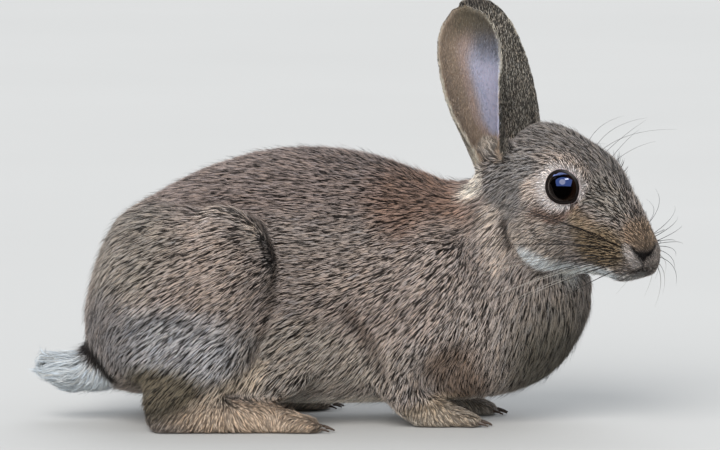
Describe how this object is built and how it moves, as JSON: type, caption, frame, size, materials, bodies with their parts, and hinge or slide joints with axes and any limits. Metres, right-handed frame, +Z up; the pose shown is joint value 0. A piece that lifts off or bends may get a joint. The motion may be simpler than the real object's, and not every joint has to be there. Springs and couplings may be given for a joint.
{
  "type": "rabbit",
  "caption": "Life-size still display model of a wild European rabbit crouching on all fours with its ears up and its head turned a little to its right.",
  "frame": {"origin": "on the floor under the middle of the animal's box, level with the soles", "axes": "+Z up, -Y towards the nose, +Y towards the tail, -X towards the animal's own right side, which is the side its head turns to"},
  "size_m": [0.1108, 0.278, 0.1913],
  "materials": {
    "coat": "ticked grey-brown fur, matte",
    "tail_coat": "white fluffy fur, matte",
    "ear_coat": "short velvety fur, bare pale skin inside",
    "eye": "wet gloss, near black",
    "claw": "dark horn, satin"
  },
  "bodies": {
    "root": {"claw_fore_left_1": "claw", "claw_fore_left_2": "claw", "claw_fore_left_3": "claw", "claw_fore_left_4": "claw", "claw_fore_left_5": "claw", "claw_fore_right_1": "claw", "claw_fore_right_2": "claw", "claw_fore_right_3": "claw", "claw_fore_right_4": "claw", "claw_fore_right_5": "claw", "claw_hind_left_1": "claw", "claw_hind_left_2": "claw", "claw_hind_left_3": "claw", "claw_hind_left_4": "claw", "claw_hind_right_1": "claw", "claw_hind_right_2": "claw", "claw_hind_right_3": "claw", "claw_hind_right_4": "claw", "ear_left": "ear_coat", "ear_right": "ear_coat", "eye_left": "eye", "eye_right": "eye", "foreleg_left": "coat", "foreleg_right": "coat", "forepaw_left": "coat", "forepaw_right": "coat", "head": "coat", "hindfoot_left": "coat", "hindfoot_right": "coat", "hindleg_left": "coat", "hindleg_right": "coat", "neck": "coat", "tail": "tail_coat", "trunk": "coat"}
  },
  "joints": []
}
